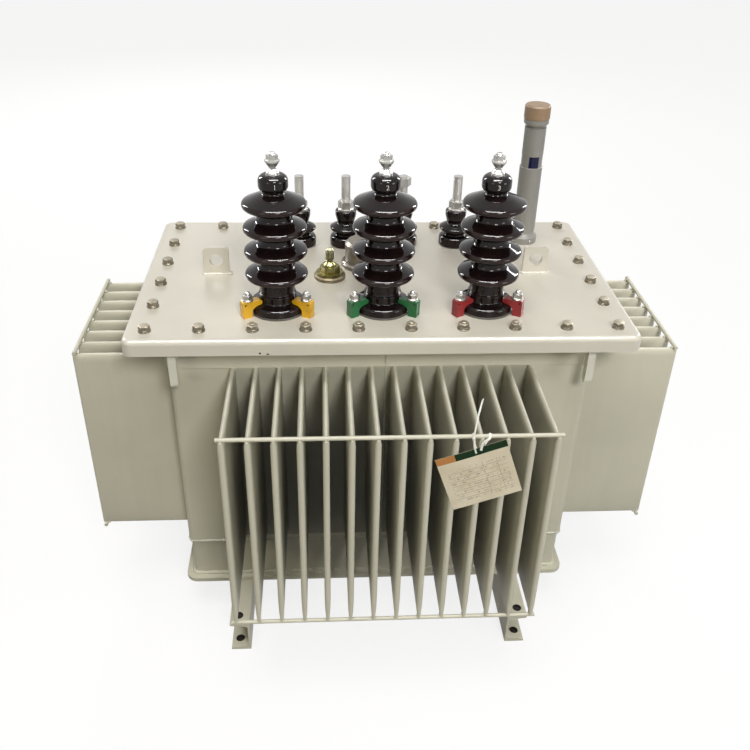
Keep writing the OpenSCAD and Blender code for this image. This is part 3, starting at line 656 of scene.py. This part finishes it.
b = Build()
b.bead(ring_path(421.5, 214.5, 12, 192), 4.2, True, seed=1.0)
b.bead(ring_path(420, 213, 12, 91.5), 5.0, True, seed=2.0)
b.bead(ring_path(424.5, 217.5, 14, 651), 3.2, True, seed=3.0)
for s in (-1, 1):
    b.bead([(7 * -s, s * 216.2, 196), (7 * -s, s * 216.2, 648)], 2.6, seed=4.0 + s)
    b.bead([(7 * -s, s * 222.2, 653), (7 * -s, s * 222.2, 727)], 2.4, seed=6.0 + s)
b.piece("tank_welds", [WELD], 60.0)

b = Build()
for s in (-1, 1):
    x = s * LUG_X
    foot = ((-26.5, -6.2), (26.5, -6.2), (29.5, -3.0), (29.5, 3.0), (26.5, 6.2), (-26.5, 6.2), (-29.5, 3.0),
            (-29.5, -3.0))
    b.bead([(x + dx, y, H + 0.6) for dx, y in foot], 3.6, True, 2.0, seed=8.0 + s)
b.piece("lug_welds", [COVER], 60.0)

b = Build()
for sx in (-1, 1):
    for sy in (-1, 1):
        x = sx * HOOK_X
        for e in (-7.8, 7.8):
            b.bead([(x + e, sy * 222.6, 679), (x + e, sy * 222.6, 727)], 2.6, seed=sx + 2 * sy + e)
        b.bead([(x - 7, sy * 224, 727.2), (x - 7, sy * 236, 727.2)], 2.2, seed=sx - sy)
b.piece("hook_welds", [WELD], 60.0)

b = Build()
for s in (-1, 1):
    for i, x in enumerate(FRONT_FINS):
        for z, dz in ((FIN_TOP, 1.4), (FIN_Z, -1.4)):
            b.blob((x, s * (NOSE_Y - 11.6), z + dz), 3.4, 3.8, 2.4, i * 1.3 + s)
            b.blob((x, s * (NOSE_Y - 4.4), z + dz * 0.5), 3.2, 3.2, 2.4, i * 0.9 - s)
    for j, y in enumerate(END_FINS):
        for z, dz in ((FIN_TOP, 1.4), (FIN_Z, -1.4)):
            b.blob((s * (NOSE_X - 11.6), y, z + dz), 3.8, 3.4, 2.4, j * 1.7 + s)
            b.blob((s * (NOSE_X - 4.4), y, z + dz * 0.5), 3.2, 3.2, 2.4, j * 0.7 - s)
b.piece("rod_welds", [WELD], 60.0)

b = Build()
edge = [(math.sin(t), FIN_Z + TAPER * (1 - math.cos(t))) for t in (0.0, 0.26, 0.52, 0.79, 1.05, 1.31, 1.571)]
edge += [(math.sin(t), FIN_TOP - CROWN * (1 - math.cos(t))) for t in (1.571, 1.1, 0.6, 0.0)]
edge = [((SEAM + (FIN_T - SEAM) * k) / 2, z) for k, z in edge]
for s in (-1, 1):
    for e in (-1, 1):
        for i, x in enumerate(FRONT_FINS):
            b.bead([(x + e * w, s * 216.4, z) for w, z in edge], 2.3, False, 9.0, seed=i + e + s, n=6)
        for j, y in enumerate(END_FINS):
            b.bead([(s * 423.4, y + e * w, z) for w, z in edge], 2.3, False, 9.0, seed=j - e - s, n=6)
b.piece("fin_root_folds", [TANK], 70.0)

b = Build()
z = FIN_TOP - 0.4
for s in (-1, 1):
    for i, x in enumerate(FRONT_FINS):
        b.bead([(x, s * 217.0, z), (x, s * (NOSE_Y - 14.0), z)], 1.7, False, 9.0, seed=i + s, n=6)
    for j, y in enumerate(END_FINS):
        b.bead([(s * 424.0, y, z), (s * (NOSE_X - 14.0), y, z)], 1.7, False, 9.0, seed=j - s, n=6)
b.piece("fin_top_seams", [SEAM_LIT], 70.0)


# ---------------------------------------------------------------- numbers, tag, marks

# Plain numbers wrapped round the bushings' collars
COLLAR_R = 28.0
b = Build()
for k, x in enumerate(HV_X):
    cu = bpy.data.curves.new("digit", "FONT")
    cu.body = str(k + 1)
    cu.size, cu.align_x, cu.align_y, cu.resolution_u = 13.0, "CENTER", "CENTER", 4
    tmp = bpy.data.objects.new("digit", cu)
    bpy.context.scene.collection.objects.link(tmp)
    bpy.context.view_layer.update()
    me = bpy.data.meshes.new_from_object(tmp)
    aim = math.radians(-90 + 4 - 5 * (k - 1))
    verts = []
    for v in me.vertices:
        a = aim + v.co.x / 27.9
        verts.append((x + COLLAR_R * math.cos(a), HV_Y + COLLAR_R * math.sin(a), H + 256.0 + v.co.y))
    b.add(verts, [tuple(p.vertices) for p in me.polygons])
    bpy.data.objects.remove(tmp)
    bpy.data.meshes.remove(me)
b.piece("bushing_numbers", [WHITE], 60.0)

# Paper tag hung on the front tie rod
TAG_W, TAG_H, TAG_T = 131.0, 124.0, 0.45
NU, NV = 26, 24
turn = math.radians(19.5)
mid = Vector((159.6, 0.0, 572.0))
ux, vx = Vector((math.cos(turn), 0, math.sin(turn))), Vector((-math.sin(turn), 0, math.cos(turn)))
grid, uvs = [], []
for j in range(NV + 1):
    for i in range(NU + 1):
        u, v = i / NU, j / NV
        p = mid + ux * ((u - 0.5) * TAG_W) + vx * ((v - 0.5) * TAG_H)
        p.y = -(NOSE_Y + 0.7 + 1.6 * v * v + 1.1 * math.sin(3.1 * u + 0.4) ** 2 * (0.3 + v))
        grid.append(p)
        uvs.append((u, v))
n1 = NU + 1
b = Build()
back = [p + Vector((0, TAG_T, 0)) for p in grid]
quads, mats = [], []
for j in range(NV):
    for i in range(NU):
        a = j * n1 + i
        quads.append((a, a + 1, a + n1 + 1, a + n1))
        mats.append((2 if i < 7 else 1) if j >= NV - 3 else 0)
k = len(grid)
edge = list(range(n1)) + [j * n1 + NU for j in range(1, NV + 1)]
edge += [NV * n1 + i for i in range(NU - 1, -1, -1)] + [j * n1 for j in range(NV - 1, 0, -1)]
rim = [(f, e, e + k, f + k) for e, f in zip(edge, edge[1:] + edge[:1])]
b.add(grid + back, quads + [tuple(i + k for i in reversed(q)) for q in quads] + rim)
b.m = mats + [0] * (len(quads) + len(rim))
tag = b.piece("paper_tag", [PAPER, HEAD, BAND], 60.0)
layer = tag.data.uv_layers.new(name="sheet")
for corner in tag.data.loops:
    layer.data[corner.index].uv = uvs[corner.vertex_index % k]

# Two nylon ties: a loop with a lock and a free tail, and a wider loop
hole = mid + ux * 8.0 + vx * 52.0
hy = -(NOSE_Y + 3.6)
b = Build()
loop = [(hole.x, hy, hole.z), (hole.x - 5, hy - 0.6, hole.z + 16), (145.0, -473.6, 650), (143.0, -471.6, 656.5),
        (143.0, -466.0, 659.6), (143.2, -460.6, 656.5), (143.6, -460.4, 649), (146.0, -463.0, 640),
        (150.5, -471.0, hole.z + 6), (hole.x - 1, -471.4, hole.z + 1), (hole.x, hy, hole.z)]
b.strap(spline(loop, 7), 3.4, 1.1, (1, 0, 0.1))
tail = [(143.4, -472.3, 655), (146.0, -468.0, 672), (151.0, -457.0, 692), (157.0, -444.5, 708),
        (160.5, -438.5, 715)]
b.strap(spline(tail, 8), 3.4, 1.1, (1, 0.3, -0.25),
        taper=lambda t: 1.0 if t < 0.8 else 1.0 - 2.6 * (t - 0.8))
octagon = ((-1, -0.7), (-0.7, -1), (0.7, -1), (1, -0.7), (1, 0.7), (0.7, 1), (-0.7, 1), (-1, 0.7))
b.rings([[(143.2 + sx * w, -472.8 + sy * d, z) for sx, sy in octagon]
         for z, w, d in ((651.0, 2.2, 1.7), (651.8, 2.8, 2.2), (655.8, 2.8, 2.2), (656.6, 2.2, 1.7))])
hole = mid + ux * 17.5 + vx * 55.0
loop = [(hole.x, hy, hole.z), (hole.x + 3, -474.0, 645), (171.5, -471.8, 653), (172.5, -466.0, 659.4),
        (172.6, -460.4, 654), (172.0, -462.0, 645), (hole.x + 2, -471.2, hole.z + 3), (hole.x, hy + 3, hole.z)]
b.strap(spline(loop, 7), 4.6, 1.1, (1, 0, 0.1))
b.piece("tag_ties", [NYLON], 50.0)

# Chips in the paint on the cover's front edge
b = Build()
for cx, cz, w, h, seed in ((-234.8, 722.9, 2.3, 2.2, 1.0), (-220.4, 721.0, 3.2, 1.5, 5.0)):
    ring = []
    for j in range(14):
        a = 2 * math.pi * j / 14
        g = 1.0 + 0.4 * noise.noise(Vector((math.cos(a) * 1.4, math.sin(a) * 1.4, seed)))
        ring.append((cx + w * g * math.cos(a), COVER_FRONT, cz + h * g * math.sin(a)))
    b.rings([ring, [(x + (cx - x) * 0.12, COVER_FRONT - 0.15, z + (cz - z) * 0.12) for x, y, z in ring]])
b.piece("edge_chips", [BARE_AND_SHADE], 60.0)


# ---------------------------------------------------------------- stage, light, camera

def plain_view(tree):
    """1 for camera, glossy and transmission rays, which see the plain white background, and 0 for the rest."""
    path = tree.nodes.new("ShaderNodeLightPath")
    last = path.outputs["Is Camera Ray"]
    for ray in ("Is Glossy Ray", "Is Transmission Ray"):
        most = tree.nodes.new("ShaderNodeMath")
        most.operation = "MAXIMUM"
        tree.links.new(last, most.inputs[0])
        tree.links.new(path.outputs[ray], most.inputs[1])
        last = most.outputs[0]
    return last


def stage_floor():
    """A pale floor that keeps the shadow, part white of itself and part lit, and throws little light back up."""
    me = bpy.data.meshes.new("floor")
    r, z = 40.0, -0.0005
    me.from_pydata([(-r, -r, z), (r, -r, z), (r, r, z), (-r, r, z)], [], [(0, 1, 2, 3)])
    m = bpy.data.materials.new("floor")
    m.use_nodes = True
    t = m.node_tree
    t.nodes.clear()
    new, link = t.nodes.new, t.links.new
    out, mix, half = new("ShaderNodeOutputMaterial"), new("ShaderNodeMixShader"), new("ShaderNodeMixShader")
    seen, lit, rest = new("ShaderNodeEmission"), new("ShaderNodeBsdfDiffuse"), new("ShaderNodeBsdfDiffuse")
    seen.inputs[0].default_value = (1, 1, 1, 1)
    seen.inputs[1].default_value = 1.0
    lit.inputs[0].default_value = (0.95, 0.95, 0.94, 1)
    rest.inputs[0].default_value = (0.1, 0.097, 0.09, 1)
    half.inputs[0].default_value = 0.2
    link(seen.outputs[0], half.inputs[1])
    link(lit.outputs[0], half.inputs[2])
    link(plain_view(t), mix.inputs[0])
    link(rest.outputs[0], mix.inputs[1])
    link(half.outputs[0], mix.inputs[2])
    link(mix.outputs[0], out.inputs[0])
    me.materials.append(m)
    ob = bpy.data.objects.new("floor", me)
    bpy.context.scene.collection.objects.link(ob)


def world(level, tint):
    """A dim tinted world that looks white from the camera and in reflections."""
    w = bpy.data.worlds.new("studio")
    bpy.context.scene.world = w
    w.use_nodes = True
    t = w.node_tree
    t.nodes.clear()
    new, link = t.nodes.new, t.links.new
    out, mix = new("ShaderNodeOutputWorld"), new("ShaderNodeMixShader")
    dim, white = new("ShaderNodeBackground"), new("ShaderNodeBackground")
    dim.inputs[0].default_value = tint
    dim.inputs[1].default_value = level
    white.inputs[0].default_value = (1, 1, 1, 1)
    white.inputs[1].default_value = 1.0
    link(plain_view(t), mix.inputs[0])
    link(dim.outputs[0], mix.inputs[1])
    link(white.outputs[0], mix.inputs[2])
    link(mix.outputs[0], out.inputs[0])


def lamp(name, kind, at, aim, energy, color=(1, 1, 1), size=None, angle=None, gloss_only=False,
         matt_only=False):
    """A lamp that the camera doesn't see, for highlights alone (gloss_only) or without them (matt_only)."""
    d = bpy.data.lights.new(name, kind)
    d.energy, d.color = energy, color
    if kind == "AREA":
        d.shape, d.size, d.size_y = "RECTANGLE", size[0], size[1]
    if angle:
        d.angle = math.radians(angle)
    o = bpy.data.objects.new(name, d)
    o.location = at
    o.rotation_euler = (Vector(aim) - Vector(at)).to_track_quat("-Z", "Y").to_euler()
    o.visible_camera = False
    o.visible_diffuse = not gloss_only
    o.visible_glossy = not matt_only
    bpy.context.scene.collection.objects.link(o)


stage_floor()
world(0.05, (1.0, 0.985, 0.95, 1.0))
lamp("key", "SUN", (-0.3, -0.6, 4.0), (0, 0, 0.4), 1.65, (1.0, 0.985, 0.96), angle=35)
lamp("front", "AREA", (1.1, -4.7, 4.1), (0, -0.2, 0.5), 162.0, (1.0, 0.99, 0.97), (1.4, 1.2))
lamp("left", "AREA", (-2.2, -2.8, 1.6), (-0.1, 0, 0.5), 12.0, (1.0, 0.92, 0.68), (0.9, 0.9))
lamp("right", "AREA", (2.6, -1.9, 1.2), (0.3, 0, 0.5), 22.0, (1.0, 0.99, 0.99), (1.0, 1.0))
lamp("back", "AREA", (-0.8, 4.6, 2.8), (0, 0.1, 0.5), 85.0, (1.0, 0.99, 0.97), (1.4, 1.2), matt_only=True)
lamp("strip_left", "AREA", (-2.8, 2.2, 2.4), (0, -0.1, 0.9), 110.0, size=(0.4, 1.8), gloss_only=True)
lamp("strip_right", "AREA", (2.8, 2.2, 2.1), (0, -0.1, 0.9), 90.0, size=(0.5, 1.6), gloss_only=True)
lamp("strip_over", "AREA", (0.1, -1.1, 3.4), (0, -0.2, 0.9), 240.0, size=(2.4, 0.4), gloss_only=True)

# The camera as solved from the cover's bolts and edges: focal length in pixels, axes and place in metres
FOCAL, PHOTO_W, SENSOR = 860.7, 750.0, 36.0
RIGHT, DOWN, AHEAD = (0.9982, -0.0561, 0.0218), (-0.0113, -0.5306, -0.8475), (0.0591, 0.8457, -0.5303)
STAND = (-0.1165, -1.6752, 1.5413)
cam = bpy.data.cameras.new("camera")
cam.sensor_fit, cam.sensor_width, cam.lens = "HORIZONTAL", SENSOR, FOCAL * SENSOR / PHOTO_W
cam.clip_end = 200.0
eye = bpy.data.objects.new("camera", cam)
eye.matrix_world = Matrix([[RIGHT[i], -DOWN[i], -AHEAD[i], STAND[i]] for i in range(3)] + [[0, 0, 0, 1]])
bpy.context.scene.collection.objects.link(eye)
bpy.context.scene.camera = eye
bpy.context.scene.view_settings.view_transform = "Standard"
